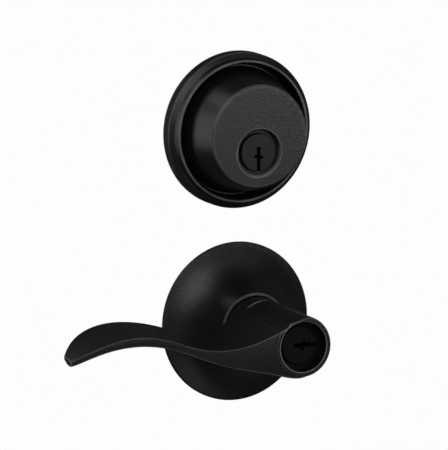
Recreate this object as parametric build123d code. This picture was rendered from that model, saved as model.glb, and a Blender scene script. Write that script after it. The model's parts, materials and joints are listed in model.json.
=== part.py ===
from build123d import *
import os
from math import cos, radians, sin
from typing import NamedTuple

# Door preparation, millimetres, common house door sizes
DOOR_THICKNESS = 44.45
BACKSET = 60.3
FACEPLATE_HEIGHT = 57.15
FACEPLATE_WIDTH = 25.4
FACEPLATE_THICKNESS = 2.4
FACEPLATE_CORNER = 6.35
FACEPLATE_HOLE_SPACING = 41.3
FACEPLATE_HOLE_RADIUS = 2.3
FACEPLATE_SINK_RADIUS = 4.3
UNIT_SPACING = 80.0

# Fits
RUNNING_FIT = 0.06
LOOSE_FIT = 0.2
FREE_GAP = 0.4

# Deadbolt trim ring and housing
RING_RADIUS = 32.3
RING_WALL = 4.7
RING_RIM = 5.9
RING_RIM_RADIUS = 30.5
RING_STEP = 6.7
RING_STEP_ROOT = 0.2
RING_STEP_RADIUS = 29.9
RING_CREST_RADIUS = 29.5
RING_CREST = 8.7
RING_MOUTH_RADIUS = 28.4
RING_THROAT = 2.8
RING_THROAT_RADIUS = 26.8
RING_LIP_RADIUS = 24.0
RING_LIP = 2.0
HOUSING_FACE_RADIUS = 21.4
HOUSING_DEPTH = 23.2
HOUSING_WALL = 2.2
HOUSING_EDGE = 1.2

# Deadbolt key cylinder
PLUG_DROP = 6.5
CYLINDER_RADIUS = 9.0
CYLINDER_OPENING = 9.3
OPENING_BEVEL = 0.6
PLUG_SETBACK = 0.6
PLUG_EDGE = 0.5
CYLINDER_SHOULDER = 11.0
PLUG_RADIUS = 6.35
PLUG_HEAD_RADIUS = 7.9
PLUG_HEAD = 2.6
BIBLE_WIDTH = 9.0
BIBLE_TOP = 19.0
PIN_COUNT = 5
PIN_PITCH = 2.75
PIN_RADIUS = 1.15
KEYWAY_WIDTH = 1.7
KEYWAY_TOP = 2.4
RIGHT_WARD = -1.1
LEFT_WARD = -0.5
WARD_HEIGHT = 1.9
WARD_REACH = 1.3
WARD_TAPER = 0.5
KEY_PIN_SHORT = 2.8
KEY_PIN_STEP = 0.5
PIN_SPRING_WIRE = 0.2
PIN_SPRING_PITCH = 1.1
PIN_WALL = 0.8
PIN_COVER = 0.8

# Tailpiece and through bolts
TAIL_WIDTH = 5.6
TAIL_THICKNESS = 2.2
TAIL_HEAD_RADIUS = 4.6
BOLT_SHANK_RADIUS = 2.05
BOLT_HEAD_RADIUS = 3.8
BOLT_HEAD = 1.8
BOLT_RECESS_LENGTH = 5.0
BOLT_RECESS_WIDTH = 1.1
BOLT_REACH = 21.4
POST_RADIUS = 3.4
POST_DEPTH = 7.5

# Deadbolt bolt and its drive
BOLT_THROW = 25.4
BOLT_RADIUS = 11.0
BOLT_THICKNESS = 14.0
BOLT_LENGTH = 36.0
BOLT_CHAMFER = 0.8
BOLT_SLOT = 8.0
ROLLER_RADIUS = 3.2
ROLLER_LENGTH = 9.8
ROLLER_SETBACK = 10.0
CASE_RADIUS = 12.4
CASE_LENGTH = 30.0
CHEEK_OFFSET = 8.6
CHEEK_THICKNESS = 1.6
CHEEK_RIM = 4.5
CHEEK_GRIP = 4.0
HUB_WALL = 2.2
LINK_THICKNESS = 2.4
CRANK_THICKNESS = 2.2
CRANK_PIN_RADIUS = 2.0
CRANK_RIM = 1.5
LINK_HEIGHT = 6.5
LINK_RIM = 2.4
THUMBTURN_SWING = 90.0

# Deadbolt room side
PLATE_THICKNESS = 2.0
INSIDE_ROSE_RADIUS = 32.3
INSIDE_ROSE_RIM = 4.0
INSIDE_ROSE_DEPTH = 8.6
INSIDE_ROSE_WALL = 1.5
ROSE_SHOULDER_BLEND = 1.5
ROSE_CROWN_BLEND = 8.0
NECK_RADIUS = 8.0
WING_HEIGHT = 34.0
WING_WIDTH = 9.0
WING_DEPTH = 17.0
WING_EDGE = 1.4
TURN_BASE = 4.0
TURN_BASE_EDGE = 1.2
TAIL_GRIP = 3.0
CLIP_REACH = 2.5
CLIP_GROOVE = 1.2
CLIP_THICKNESS = 1.0

# Lever rose
ROSE_RADIUS = 32.95
ROSE_RIM = 0.9
ROSE_NECK_RADIUS = 14.7
ROSE_DEPTH = 19.2
ROSE_NECK_EDGE = 0.4
ROSE_OUTSIDE_COVE = 3.2
ROSE_INSIDE_COVE = 1.4
ROSE_RIM_BEVEL = 0.5
ROSE_WALL = 1.2
CAGE_RADIUS = 27.6
CAGE_THICKNESS = 1.0
BUSH_RADIUS = 12.0
BUSH_DEPTH = 13.5

# Lever head and blade
HEAD_RADIUS = 13.3
HEAD_FRONT_RADIUS = 12.5
HEAD_BACK = 15.5
HEAD_FRONT = 63.7
HEAD_EDGE = 0.8
BLADE_EDGE = 0.5
BAND_BULGE = 0.02
BELLY_SAG = 0.6
BACK_BULGE = 0.3
JOURNAL_RADIUS = 9.0
JOURNAL_BACK = 3.0
HEAD_BORE_RADIUS = 10.4
HEAD_BORE_FLOOR = 34.0
LEVER_RECESS = 4.0
LEVER_GROOVE = 1.2
SPINDLE_SIZE = 8.0
SPINDLE_BORE_RADIUS = 2.8
GRUB_DEPTH = 25.0
GRUB_RADIUS = 2.0
BUTTON_DEPTH = 12.0
BUTTON_WING = 7.0
BUTTON_WING_WIDTH = 3.2
LEVER_SWING = 50.0

# Latch
LATCH_THROW = 12.7
LATCH_RADIUS = 9.0
LATCH_FLAT = 6.2
LATCH_LENGTH = 26.0
LATCH_CASE_RADIUS = 11.6
LATCH_HUB_RADIUS = 7.4
PLUNGER_REACH = 9.5
LATCH_LINK_BAR = 2.2
LATCH_LINK_TAIL = 6.0
LATCH_LINK_RIM = 1.6
SPRING_WIRE = 0.8
RETURN_SPRING_PITCH = 2.1
RETURN_SPRING_TURNS = 3
LATCH_SPRING_TURNS = 4
SPRING_SEAT = 1.6
SPRING_SEAT_HOLE = 3.8

LEVER_Z = -UNIT_SPACING
PLUG_Z = -PLUG_DROP
MID = DOOR_THICKNESS / 2
SPINDLE_END = HEAD_BORE_FLOOR - PLATE_THICKNESS


class Side(NamedTuple):
    """One face of the door, and the way that leads out of it."""

    face: float
    out: int

    def y(self, depth):
        """World y at a depth in front of this face."""
        return self.face + self.out * depth


OUTSIDE = Side(0.0, -1)
INSIDE = Side(DOOR_THICKNESS, 1)


class Barrel(NamedTuple):
    """Depths of a key cylinder's two ends, and the height of its pin chambers."""

    front: float
    back: float
    top: float


DEADBOLT_BARREL = Barrel(HOUSING_DEPTH - PLUG_SETBACK, RING_LIP, BIBLE_TOP)
LEVER_BARREL = Barrel(HEAD_FRONT - LEVER_RECESS, HEAD_BORE_FLOOR + LOOSE_FIT, HEAD_BORE_RADIUS - PIN_WALL)


class Station(NamedTuple):
    """One cut across the lever's blade, all heights from the lever's axis."""

    x: float
    front: float
    front_bottom: float
    front_top: float
    back: float
    back_top: float
    back_edge: float


BLADE = [
    Station(2.0, 63.4, -12.0, 12.2, 26.8, 12.9, 14.0),
    Station(-8.0, 63.2, -12.0, 8.0, 27.8, 10.3, 9.0),
    Station(-20.0, 61.9, -9.2, 2.9, 29.2, 5.0, 4.4),
    Station(-32.0, 59.5, -6.5, 0.6, 30.9, 3.4, 3.0),
    Station(-42.0, 57.0, -3.0, 1.2, 31.6, 4.9, 2.6),
    Station(-52.0, 54.9, 0.9, 4.4, 31.0, 7.8, 2.4),
    Station(-62.0, 53.1, 3.3, 7.0, 30.1, 9.8, 2.3),
    Station(-72.0, 52.3, 3.8, 7.4, 29.9, 10.2, 2.2),
    Station(-82.0, 52.0, 2.6, 5.7, 31.6, 8.7, 2.0),
    Station(-92.0, 51.8, -0.1, 2.6, 37.4, 5.1, 1.8),
    Station(-98.6, 51.2, -2.0, 0.0, 45.2, 1.4, 1.4),
]


def bar_y(radius, y_from, y_to, x=0.0, z=0.0):
    """Round bar along y."""
    length = abs(y_to - y_from)
    return Pos(x, (y_from + y_to) / 2, z) * Rot(90, 0, 0) * Cylinder(radius, length)


def bar_x(radius, x_from, x_to, y=MID, z=0.0):
    """Round bar along x."""
    length = abs(x_to - x_from)
    return Pos((x_from + x_to) / 2, y, z) * Rot(0, 90, 0) * Cylinder(radius, length)


def bar_z(radius, z_from, z_to, x=0.0, y=0.0):
    """Round bar along z."""
    return Pos(x, y, (z_from + z_to) / 2) * Cylinder(radius, abs(z_to - z_from))


def block(x_from, x_to, y_from, y_to, z_from, z_to):
    """Plain block between two corners."""
    size = (abs(x_to - x_from), abs(y_to - y_from), abs(z_to - z_from))
    middle = ((x_from + x_to) / 2, (y_from + y_to) / 2, (z_from + z_to) / 2)
    return Pos(*middle) * Box(*size)


def turned(outline, side, z=0.0):
    """Solid turned about a lock axis from an outline in radius and depth."""
    solid = revolve(outline, axis=Axis.Y)
    facing = Rot(0, 0, 0 if side.out > 0 else 180)
    return Pos(0, side.face, z) * facing * solid


def eased(outline, corners):
    """Outline with some corners rounded, given as point and radius."""
    for point, radius in corners:
        nearest = outline.vertices().sort_by_distance((*point, 0))[0]
        outline = fillet(nearest, radius)
    return outline


def spring_coil(wire, radius, pitch, length):
    """Coil along z from the origin, wound from one wire."""
    path = Helix(pitch, length, radius)
    section = Plane(path @ 0, z_dir=path % 0) * Circle(wire)
    return sweep(section, path=path)


# Deadbolt, outside


def deadbolt_trim_ring():
    """Stepped ring that lies on the door, with a lip under the housing."""
    wall = (RING_RADIUS, RING_WALL)
    rim = (RING_RIM_RADIUS, RING_RIM)
    crest_in = (RING_MOUTH_RADIUS, RING_CREST)
    crest_out = (RING_CREST_RADIUS, RING_CREST)
    outline = make_face(
        Polyline(
            (RING_LIP_RADIUS, 0),
            (RING_RADIUS, 0),
            wall,
            rim,
            (RING_STEP_RADIUS + RING_STEP_ROOT, RING_RIM + RING_STEP_ROOT),
            (RING_STEP_RADIUS, RING_STEP),
            crest_out,
            crest_in,
            (RING_THROAT_RADIUS, RING_THROAT),
            (RING_THROAT_RADIUS, RING_LIP),
            (RING_LIP_RADIUS, RING_LIP),
            close=True,
        )
    )
    soft = 0.45 * (RING_CREST_RADIUS - RING_MOUTH_RADIUS)
    outline = eased(outline, [(wall, soft), (rim, soft / 3), (crest_out, soft), (crest_in, soft)])
    return turned(outline, OUTSIDE)


def deadbolt_housing():
    """Tapered shell with an off-centre opening and two screw posts."""
    base = RING_THROAT_RADIUS - FREE_GAP
    inner_base = base - HOUSING_WALL
    inner_face = HOUSING_FACE_RADIUS - HOUSING_WALL
    ceiling = HOUSING_DEPTH - HOUSING_WALL
    edge = (HOUSING_FACE_RADIUS, HOUSING_DEPTH)
    outline = make_face(
        Polyline(
            (inner_base, RING_LIP),
            (base, RING_LIP),
            (base, RING_THROAT),
            edge,
            (0, HOUSING_DEPTH),
            (0, ceiling),
            (inner_face, ceiling),
            close=True,
        )
    )
    shell = turned(eased(outline, [(edge, HOUSING_EDGE)]), OUTSIDE)
    post_top = OUTSIDE.y(POST_DEPTH)
    for z in (BOLT_REACH, -BOLT_REACH):
        shell += bar_y(POST_RADIUS, OUTSIDE.y(RING_LIP), post_top, z=z)
    for z in (BOLT_REACH, -BOLT_REACH):
        shell -= bar_y(BOLT_SHANK_RADIUS + RUNNING_FIT, OUTSIDE.y(0), post_top + 1, z=z)
    front = OUTSIDE.y(HOUSING_DEPTH)
    shell -= bar_y(CYLINDER_OPENING, front, OUTSIDE.y(ceiling), z=PLUG_Z)
    bevel = Cone(CYLINDER_OPENING, CYLINDER_OPENING + OPENING_BEVEL, OPENING_BEVEL)
    return shell - Pos(0, front + OPENING_BEVEL / 2, PLUG_Z) * Rot(90, 0, 0) * bevel


def pin_depths(barrel):
    """Depths of the pin chambers between the plug's head and the recess in its end."""
    first = barrel.front - PLUG_HEAD - PIN_PITCH
    last = barrel.back + PLATE_THICKNESS + PIN_RADIUS + LOOSE_FIT
    depths = [first - PIN_PITCH * i for i in range(PIN_COUNT)]
    return [depth for depth in depths if depth > last]


def plug_space(barrel):
    """Clear space for a plug with its head, and for the pins above it."""
    front = OUTSIDE.y(barrel.front)
    space = bar_y(PLUG_RADIUS + RUNNING_FIT, front, OUTSIDE.y(barrel.back))
    head_floor = barrel.front - PLUG_HEAD - RUNNING_FIT
    space += bar_y(PLUG_HEAD_RADIUS + RUNNING_FIT, front, OUTSIDE.y(head_floor))
    for depth in pin_depths(barrel):
        space += bar_z(PIN_RADIUS + RUNNING_FIT, 0, barrel.top, y=OUTSIDE.y(depth))
    return space


def ward(low, high, reach):
    """Side groove of a keyway between two heights, narrowing outwards."""
    return make_face(
        Polyline(
            (0, high),
            (reach, high - WARD_TAPER),
            (reach, low + WARD_TAPER),
            (0, low),
            close=True,
        )
    )


def keyway(front, back):
    """Warded slot that runs out through the bottom of the plug."""
    half = KEYWAY_WIDTH / 2
    reach = half + WARD_REACH
    y_from = OUTSIDE.y(front)
    slot = block(-half, half, y_from, OUTSIDE.y(back), -PLUG_HEAD_RADIUS, KEYWAY_TOP)
    face = Plane((0, y_from, 0), z_dir=(0, -1, 0), x_dir=(1, 0, 0))
    right = ward(RIGHT_WARD - WARD_HEIGHT, RIGHT_WARD, reach)
    left = ward(LEFT_WARD - WARD_HEIGHT, LEFT_WARD, -reach)
    for groove in (right, left):
        slot += extrude(face * groove, back - front)
    return slot


def key_plug(barrel):
    """Plug with head, keyway, pin chambers and a recess for the tailpiece."""
    front = barrel.front
    head = bar_y(PLUG_HEAD_RADIUS, OUTSIDE.y(front), OUTSIDE.y(front - PLUG_HEAD))
    rim = head.edges().filter_by(GeomType.CIRCLE).sort_by(Axis.Y)[0]
    plug = fillet(rim, PLUG_EDGE)
    plug += bar_y(PLUG_RADIUS, OUTSIDE.y(front), OUTSIDE.y(barrel.back))
    for depth in pin_depths(barrel):
        plug -= bar_z(PIN_RADIUS + RUNNING_FIT, 0, PLUG_RADIUS, y=OUTSIDE.y(depth))
    recess = barrel.back + PLATE_THICKNESS
    plug -= bar_y(TAIL_HEAD_RADIUS + LOOSE_FIT, OUTSIDE.y(recess), OUTSIDE.y(barrel.back))
    return plug - keyway(front, recess)


def key_pins(barrel):
    """Pins of stepped lengths, their tops level with the plug's surface."""
    top = 0.96 * PLUG_RADIUS
    lengths = [KEY_PIN_SHORT + KEY_PIN_STEP * (i * 2 % PIN_COUNT) for i in range(PIN_COUNT)]
    spots = zip(pin_depths(barrel), lengths)
    return [bar_z(PIN_RADIUS, top - length, top, y=OUTSIDE.y(depth)) for depth, length in spots]


def driver_pins(barrel):
    """Pins that rest on the plug, half as long as their chamber."""
    foot = PLUG_RADIUS + RUNNING_FIT
    head = (foot + barrel.top) / 2
    return [bar_z(PIN_RADIUS, foot, head, y=OUTSIDE.y(depth)) for depth in pin_depths(barrel)]


def pin_springs(barrel):
    """Small coils between the driver pins and the top of their chambers."""
    foot = (PLUG_RADIUS + RUNNING_FIT + barrel.top) / 2 + RUNNING_FIT
    wire = PIN_SPRING_WIRE
    length = barrel.top - foot - 2 * wire
    coil = spring_coil(wire, PIN_RADIUS - 2 * wire, PIN_SPRING_PITCH, length)
    return [Pos(0, OUTSIDE.y(depth), foot + wire) * coil for depth in pin_depths(barrel)]


def deadbolt_placed(solids):
    """Pieces of the deadbolt's key cylinder moved down to its axis."""
    return [Pos(0, 0, PLUG_Z) * solid for solid in solids]


def deadbolt_cylinder():
    """Key cylinder with a shoulder that bears on the housing's face."""
    barrel = DEADBOLT_BARREL
    back = OUTSIDE.y(barrel.back)
    half = BIBLE_WIDTH / 2
    ceiling = HOUSING_DEPTH - HOUSING_WALL
    body = bar_y(CYLINDER_RADIUS, OUTSIDE.y(ceiling), back)
    body += block(-half, half, OUTSIDE.y(barrel.front - PLUG_HEAD), back, 0, barrel.top)
    body += bar_y(CYLINDER_SHOULDER, OUTSIDE.y(ceiling), OUTSIDE.y(ceiling - PLUG_HEAD))
    return Pos(0, 0, PLUG_Z) * (body - plug_space(barrel))


def deadbolt_plug():
    """Plug of the deadbolt."""
    return Pos(0, 0, PLUG_Z) * key_plug(DEADBOLT_BARREL)


def deadbolt_plug_cap():
    """Ring on the plug's end that keeps the tailpiece in."""
    y_from = OUTSIDE.y(RING_LIP)
    y_to = OUTSIDE.y(RING_LIP / 2)
    ring = bar_y(PLUG_RADIUS, y_from, y_to, z=PLUG_Z)
    return ring - bar_y(TAIL_WIDTH / 2 + 3 * LOOSE_FIT, y_from, y_to, z=PLUG_Z)


def deadbolt_pin_cover():
    """Strip that closes the pin chambers."""
    front = DEADBOLT_BARREL.front - PLUG_HEAD
    half = BIBLE_WIDTH / 2
    foot = PLUG_Z + BIBLE_TOP
    return block(-half, half, OUTSIDE.y(front), OUTSIDE.y(RING_LIP), foot, foot + PIN_COVER)


def deadbolt_support_plate():
    """Disc inside the ring's lip that the through bolts pull against."""
    y_to = OUTSIDE.y(RING_LIP)
    plate = bar_y(RING_LIP_RADIUS - LOOSE_FIT, OUTSIDE.y(0), y_to)
    plate -= bar_y(PLUG_RADIUS + FREE_GAP, OUTSIDE.y(0), y_to, z=PLUG_Z)
    for z in (BOLT_REACH, -BOLT_REACH):
        plate -= bar_y(BOLT_SHANK_RADIUS + LOOSE_FIT, OUTSIDE.y(0), y_to, z=z)
    return plate


def deadbolt_tailpiece():
    """Flat bar from the plug through the cam into the thumbturn."""
    head_back = RING_LIP + LOOSE_FIT
    head_front = RING_LIP + PLATE_THICKNESS - LOOSE_FIT
    end = INSIDE.y(INSIDE_ROSE_DEPTH + TAIL_GRIP)
    head = bar_y(TAIL_HEAD_RADIUS, OUTSIDE.y(head_front), OUTSIDE.y(head_back), z=PLUG_Z)
    half = TAIL_WIDTH / 2
    flat = TAIL_THICKNESS / 2
    return head + block(-flat, flat, OUTSIDE.y(head_back), end, PLUG_Z - half, PLUG_Z + half)


def tail_slot(y_from, y_to):
    """Clear space for the tailpiece."""
    half = TAIL_WIDTH / 2 + LOOSE_FIT
    flat = TAIL_THICKNESS / 2 + LOOSE_FIT
    return block(-flat, flat, y_from, y_to, PLUG_Z - half, PLUG_Z + half)


# Deadbolt, inside the door leaf


def faceplate(opening, z):
    """Round-cornered plate in the door's edge with two countersunk holes."""
    back = BACKSET - FACEPLATE_THICKNESS
    outline = RectangleRounded(FACEPLATE_WIDTH, FACEPLATE_HEIGHT, FACEPLATE_CORNER)
    seat = Plane((back, MID, z), x_dir=(0, 1, 0), z_dir=(1, 0, 0))
    plate = extrude(seat * outline, FACEPLATE_THICKNESS)
    sink = FACEPLATE_SINK_RADIUS - FACEPLATE_HOLE_RADIUS
    for hole_z in (z + FACEPLATE_HOLE_SPACING / 2, z - FACEPLATE_HOLE_SPACING / 2):
        plate -= bar_x(FACEPLATE_HOLE_RADIUS, back, BACKSET, z=hole_z)
        cone = Cone(FACEPLATE_HOLE_RADIUS, FACEPLATE_SINK_RADIUS, sink)
        plate -= Pos(BACKSET - sink / 2, MID, hole_z) * Rot(0, 90, 0) * cone
    return plate - opening


def flattened_bar(radius, thickness, x_from, x_to, z):
    """Round bar with two flats, as a bolt is milled."""
    slab = block(x_from, x_to, MID - thickness / 2, MID + thickness / 2, z - radius, z + radius)
    return bar_x(radius, x_from, x_to, z=z) & slab


def bolt_faceplate():
    """Faceplate with an opening for the bolt."""
    gap = FREE_GAP / 2
    back = BACKSET - FACEPLATE_THICKNESS
    opening = flattened_bar(BOLT_RADIUS + gap, BOLT_THICKNESS + 2 * gap, back, BACKSET, 0)
    return faceplate(opening, 0)


def tubular_case(radius, bore, length, hub_z, hub_hole, z):
    """Tube behind a faceplate, with two cheeks that carry a cam."""
    front = BACKSET - FACEPLATE_THICKNESS
    back = front - length
    case = bar_x(radius, back, front, z=z) - bar_x(bore, back, front, z=z)
    reach = hub_hole + CHEEK_RIM
    grip = CHEEK_GRIP
    for offset in (CHEEK_OFFSET, -CHEEK_OFFSET - CHEEK_THICKNESS):
        y_from = MID + offset
        y_to = y_from + CHEEK_THICKNESS
        plate = block(0, back + grip, y_from, y_to, z + hub_z - reach, z + hub_z + reach)
        plate &= block(0, back + grip, y_from, y_to, z - radius, z + radius)
        neck = bar_x(radius - 0.3, back, back + grip, z=z)
        plate -= block(back, back + grip, y_from, y_to, z - 2 * radius, z + 2 * radius) - neck
        plate += bar_y(reach, y_from, y_to, z=z + hub_z)
        case += plate - bar_y(hub_hole, y_from, y_to, z=z + hub_z)
    return case


def bolt_case():
    """Case of the deadbolt's bolt."""
    hub_hole = TAIL_WIDTH / 2 + HUB_WALL + RUNNING_FIT
    return tubular_case(CASE_RADIUS, BOLT_RADIUS + FREE_GAP, CASE_LENGTH, PLUG_Z, hub_hole, 0)


def bolt():
    """Drawn-back bolt, cross-drilled lengthwise for the saw-resistant roller."""
    back = BACKSET - BOLT_LENGTH
    bar = flattened_bar(BOLT_RADIUS, BOLT_THICKNESS, back, BACKSET, 0)
    front_edges = bar.edges().filter_by_position(Axis.X, BACKSET - 0.01, BACKSET + 0.01)
    bar = chamfer(front_edges, BOLT_CHAMFER)
    reach = ROLLER_LENGTH / 2 + RUNNING_FIT
    bar -= bar_y(ROLLER_RADIUS + RUNNING_FIT, MID - reach, MID + reach, x=BACKSET - ROLLER_SETBACK)
    half = LINK_THICKNESS / 2
    slot_end = back + BOLT_SLOT
    return bar - block(back, slot_end, MID - half, MID + half, -BOLT_RADIUS, BOLT_RADIUS)


def bolt_roller():
    """Hard roller shut inside the bolt, which turns under a saw."""
    reach = ROLLER_LENGTH / 2
    return bar_y(ROLLER_RADIUS, MID - reach, MID + reach, x=BACKSET - ROLLER_SETBACK)


def crank_radius(throw, swing):
    """Crank length that gives a throw over a swing even about the upright."""
    return throw / (2 * sin(radians(swing / 2)))


def link_plate(x_from, x_to, z_from, z_to):
    """Block as thick as the links, in the middle of the door."""
    half = LINK_THICKNESS / 2
    return block(x_from, x_to, MID - half, MID + half, z_from, z_to)


def pin_slot(x, low, high, half_width):
    """Upright round-ended slot for a crank pin."""
    half = LINK_THICKNESS / 2
    slot = link_plate(x - half_width, x + half_width, low, high)
    for end in (low, high):
        slot += bar_y(half_width, MID - half, MID + half, x=x, z=end)
    return slot


def bolt_link():
    """Plate in the bolt's tail with an upright slot for the crank pin."""
    arm = crank_radius(BOLT_THROW, THUMBTURN_SWING)
    slot_x = -BOLT_THROW / 2
    low = PLUG_Z + arm * cos(radians(THUMBTURN_SWING / 2))
    high = PLUG_Z + arm
    slot_half = CRANK_PIN_RADIUS + 1.6 * FREE_GAP
    margin = slot_half + LINK_RIM
    foot = PLUG_Z + hub_radius() + 2 * FREE_GAP
    tail = BACKSET - BOLT_LENGTH + BOLT_SLOT
    plate = link_plate(slot_x - margin, tail, foot, foot + LINK_HEIGHT)
    plate += link_plate(slot_x - margin, slot_x + margin, foot, high + margin)
    return plate - pin_slot(slot_x, low, high, slot_half)


def hub_radius():
    """Radius of the deadbolt cam's hub between the cheeks."""
    return TAIL_WIDTH / 2 + HUB_WALL + FREE_GAP * 2


def crank(arm, angle, hub, pin_radius, z):
    """Arm and pin on a cam hub, the angle taken from upright towards the edge."""
    y_from = MID + LINK_THICKNESS / 2 + FREE_GAP
    y_to = y_from + CRANK_THICKNESS
    pin_x = arm * sin(radians(angle))
    pin_z = z + arm * cos(radians(angle))
    middle = Pos(pin_x / 2, (y_from + y_to) / 2, (z + pin_z) / 2)
    solid = middle * Rot(0, angle, 0) * Box(2 * (pin_radius + CRANK_RIM), CRANK_THICKNESS, arm)
    solid += bar_y(pin_radius + CRANK_RIM, y_from, y_to, x=pin_x, z=pin_z)
    solid += bar_y(pin_radius, MID - LINK_THICKNESS / 2, y_to, x=pin_x, z=pin_z)
    solid += bar_y(hub, MID - CHEEK_OFFSET + LOOSE_FIT, MID + CHEEK_OFFSET - LOOSE_FIT, z=z)
    return solid


def bolt_cam():
    """Cam on the tailpiece whose crank throws the bolt."""
    arm = crank_radius(BOLT_THROW, THUMBTURN_SWING)
    ends = CHEEK_OFFSET + CHEEK_THICKNESS
    cam = crank(arm, -THUMBTURN_SWING / 2, hub_radius(), CRANK_PIN_RADIUS, PLUG_Z)
    cam += bar_y(TAIL_WIDTH / 2 + HUB_WALL, MID - ends, MID + ends, z=PLUG_Z)
    return cam - tail_slot(MID - ends, MID + ends)


# Deadbolt, room side


def inside_plate(radius, holes_z, z):
    """Plate against the room side of the door for two through bolts."""
    plate = bar_y(radius, INSIDE.y(0), INSIDE.y(PLATE_THICKNESS), z=z)
    for hole_z in holes_z:
        plate -= bar_y(BOLT_SHANK_RADIUS + LOOSE_FIT, INSIDE.y(0), INSIDE.y(PLATE_THICKNESS), z=hole_z)
    return plate


def deadbolt_inside_plate():
    """Mounting plate of the deadbolt."""
    radius = INSIDE_ROSE_RADIUS - INSIDE_ROSE_WALL - LOOSE_FIT
    plate = inside_plate(radius, (BOLT_REACH, -BOLT_REACH), 0)
    return plate - bar_y(NECK_RADIUS, INSIDE.y(0), INSIDE.y(PLATE_THICKNESS), z=PLUG_Z)


def through_bolts(end, z):
    """Two screws from the room side, heads on the mounting plate."""
    seat = INSIDE.y(PLATE_THICKNESS)
    screws = []
    for screw_z in (z + BOLT_REACH, z - BOLT_REACH):
        screw = bar_y(BOLT_SHANK_RADIUS, end, seat, z=screw_z)
        screw += bar_y(BOLT_HEAD_RADIUS, seat, seat + BOLT_HEAD, z=screw_z)
        recess = seat + BOLT_HEAD / 2
        long = BOLT_RECESS_LENGTH / 2
        short = BOLT_RECESS_WIDTH / 2
        for half, rise in ((long, short), (short, long)):
            screw -= block(-half, half, recess, seat + BOLT_HEAD, screw_z - rise, screw_z + rise)
        screws.append(screw)
    return screws


def deadbolt_through_bolts():
    """Screws that draw the room side to the housing's posts."""
    return through_bolts(OUTSIDE.y(POST_DEPTH - 1), 0)


def deadbolt_inside_rose():
    """Low domed cover over the mounting plate."""
    wall = INSIDE_ROSE_WALL
    shoulder = (INSIDE_ROSE_RADIUS, INSIDE_ROSE_RIM)
    crown_radius = 0.62 * INSIDE_ROSE_RADIUS
    crown = (crown_radius, INSIDE_ROSE_DEPTH)
    outline = make_face(
        Polyline(
            (INSIDE_ROSE_RADIUS - wall, 0),
            (INSIDE_ROSE_RADIUS, 0),
            shoulder,
            crown,
            (0, INSIDE_ROSE_DEPTH),
            (0, INSIDE_ROSE_DEPTH - wall),
            (crown_radius - wall / 2, INSIDE_ROSE_DEPTH - wall),
            (INSIDE_ROSE_RADIUS - wall, INSIDE_ROSE_RIM - wall / 2),
            close=True,
        )
    )
    cover = turned(eased(outline, [(shoulder, ROSE_SHOULDER_BLEND), (crown, ROSE_CROWN_BLEND)]), INSIDE)
    hole = NECK_RADIUS + RUNNING_FIT
    return cover - bar_y(hole, INSIDE.y(PLATE_THICKNESS), INSIDE.y(INSIDE_ROSE_DEPTH), z=PLUG_Z)


def thumbturn():
    """Turn piece with a round base and a tapering wing, upright when drawn back."""
    top = INSIDE_ROSE_DEPTH
    back = PLATE_THICKNESS + FREE_GAP
    turn = bar_y(NECK_RADIUS, INSIDE.y(back), INSIDE.y(top + 1), z=PLUG_Z)
    base = bar_y(NECK_RADIUS + TURN_BASE, INSIDE.y(top + LOOSE_FIT), INSIDE.y(top + TURN_BASE), z=PLUG_Z)
    rim = base.edges().filter_by(GeomType.CIRCLE).sort_by(Axis.Y)[-1]
    turn += fillet(rim, TURN_BASE_EDGE)
    foot = Plane((0, INSIDE.y(top + TURN_BASE / 2), PLUG_Z), x_dir=(1, 0, 0), z_dir=(0, 1, 0))
    crest = Plane((0, INSIDE.y(top + WING_DEPTH), PLUG_Z), x_dir=(1, 0, 0), z_dir=(0, 1, 0))
    low = SlotOverall(0.82 * WING_HEIGHT, WING_WIDTH, rotation=90)
    high = SlotOverall(WING_HEIGHT, 0.62 * WING_WIDTH, rotation=90)
    wing = loft([foot * low, crest * high])
    rim = wing.edges().group_by(Axis.Y)[-1]
    turn += fillet(rim, WING_EDGE)
    turn -= clip_ring(RUNNING_FIT)
    return turn - tail_slot(INSIDE.y(back), INSIDE.y(top + TAIL_GRIP + LOOSE_FIT))


def clip_ring(gap):
    """Flat ring in the thumbturn's groove, larger by a gap to cut the groove."""
    top = INSIDE.y(INSIDE_ROSE_DEPTH - INSIDE_ROSE_WALL - FREE_GAP + gap)
    back = INSIDE.y(INSIDE_ROSE_DEPTH - INSIDE_ROSE_WALL - FREE_GAP - CLIP_THICKNESS - gap)
    ring = bar_y(NECK_RADIUS + CLIP_REACH, back, top, z=PLUG_Z)
    return ring - bar_y(NECK_RADIUS - CLIP_GROOVE - gap, back, top, z=PLUG_Z)


def thumbturn_clip():
    """Ring that keeps the thumbturn in the rose."""
    return clip_ring(0.0)


# Lever roses and plates


def hollow_arc(start, end, depth):
    """Arc from one point of an outline to another that falls in below their chord."""
    across = end[0] - start[0]
    rise = end[1] - start[1]
    chord = (across**2 + rise**2) ** 0.5
    middle_radius = (start[0] + end[0]) / 2 - depth * abs(rise) / chord
    middle_depth = (start[1] + end[1]) / 2 - depth * abs(across) / chord
    return ThreePointArc(start, (middle_radius, middle_depth), end)


def lever_rose(side, cove):
    """Trumpet-shaped rose of the lever on one side, hollowed by a cove of some depth."""
    rim = (ROSE_RADIUS - ROSE_RIM_BEVEL, ROSE_RIM + ROSE_RIM_BEVEL)
    top = (ROSE_NECK_RADIUS, ROSE_DEPTH)
    bore = HEAD_RADIUS + FREE_GAP
    inner_top = (bore, ROSE_DEPTH - ROSE_WALL)
    inner_rim = (rim[0] - ROSE_WALL, 0)
    edges = [
        hollow_arc(rim, top, cove),
        Polyline(top, (bore, ROSE_DEPTH), inner_top),
        hollow_arc(inner_top, inner_rim, cove),
        Polyline(inner_rim, (ROSE_RADIUS, 0), (ROSE_RADIUS, ROSE_RIM), rim),
    ]
    outline = eased(make_face(edges), [(top, ROSE_NECK_EDGE)])
    return turned(outline, side, LEVER_Z)


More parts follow.
